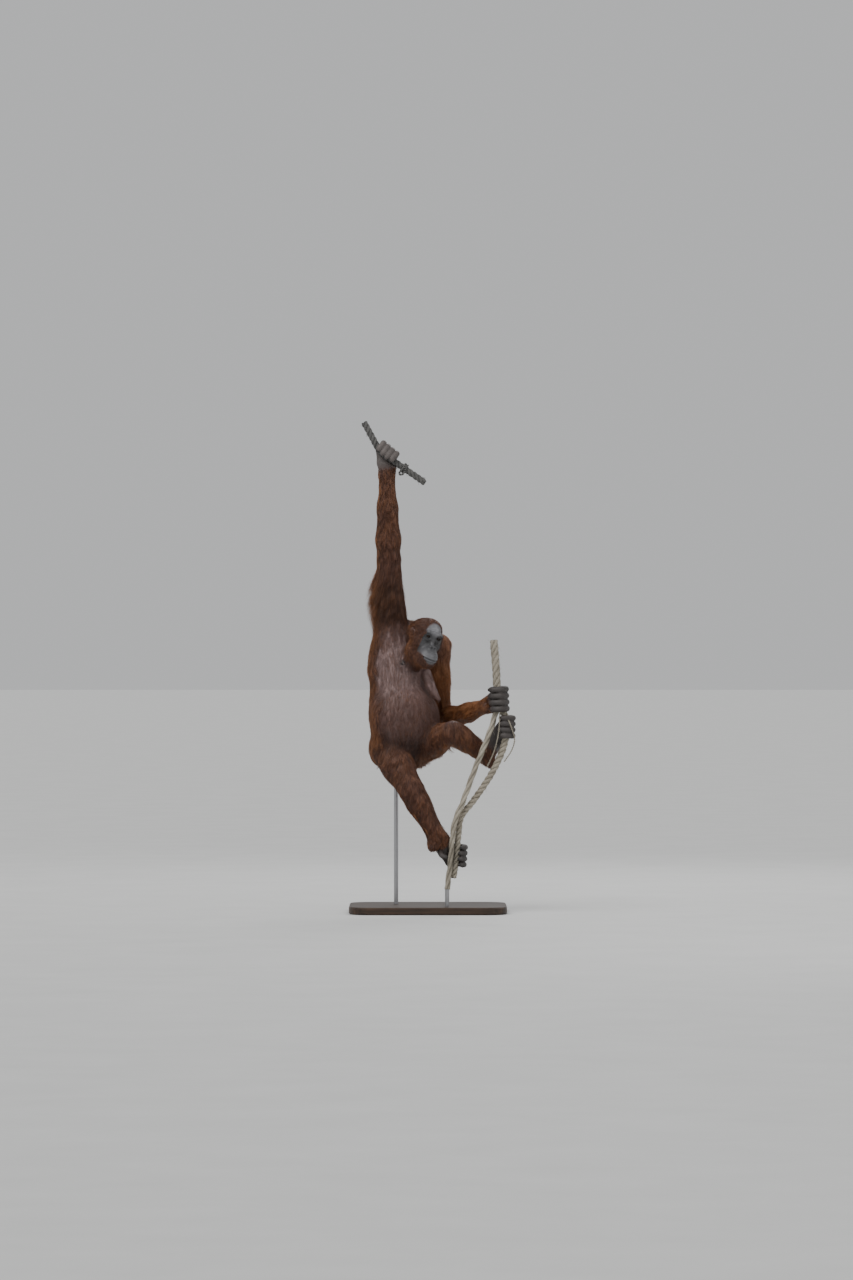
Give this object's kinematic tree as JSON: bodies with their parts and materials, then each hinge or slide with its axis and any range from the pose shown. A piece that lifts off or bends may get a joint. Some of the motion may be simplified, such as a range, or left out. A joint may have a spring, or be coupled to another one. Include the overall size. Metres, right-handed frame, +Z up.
{
  "type": "life-size orangutan display model",
  "caption": "Still life-size model of an adult female orangutan hanging by a raised hand from a rope, feet and other hand on a second rope, on a flat display stand.",
  "frame": {"origin": "middle of the underside of the display stand's base", "axes": "+Z up; -Y is the side that the chest and face turn towards, with the raised right arm on the -X side and the hanging rope on the +X side"},
  "size_m": [0.6942, 0.52, 2.0558],
  "materials": {
    "long_coat": "long shaggy red-brown hair, more orange at the fringes",
    "thin_coat": "dark purplish brown skin under sparse red-brown hair",
    "face_skin": "bare dark grey skin, slightly glossy on the brow, with a short red-brown coat round it",
    "bare_skin": "bare creased dark grey skin",
    "eye": "wet dark brown eye",
    "pale_rope": "weathered grey-beige fibre rope, frayed",
    "dark_rope": "weathered dark grey laid rope",
    "stand_board": "dark stained board, satin",
    "stand_metal": "plain brushed rod"
  },
  "bodies": {
    "root": {"belly_and_hips": "thin_coat", "breast_left": "thin_coat", "chest": "thin_coat", "ear_left": "face_skin", "ear_right": "face_skin", "eye_left": "eye", "eye_right": "eye", "foot_left": "bare_skin", "foot_right": "bare_skin", "forearm_left": "long_coat", "forearm_right": "long_coat", "hand_left": "bare_skin", "hand_right": "bare_skin", "head": "face_skin", "neck": "thin_coat", "perch_lashing": "dark_rope", "perch_rope_high": "dark_rope", "perch_rope_straight": "pale_rope", "perch_rope_twisted": "pale_rope", "perch_rope_upper": "pale_rope", "shin_left": "long_coat", "shin_right": "long_coat", "stand_base": "stand_board", "stand_rod_body": "stand_metal", "stand_rod_rope": "stand_metal", "thigh_left": "long_coat", "thigh_right": "long_coat", "upper_arm_left": "long_coat", "upper_arm_right": "long_coat"}
  },
  "joints": []
}
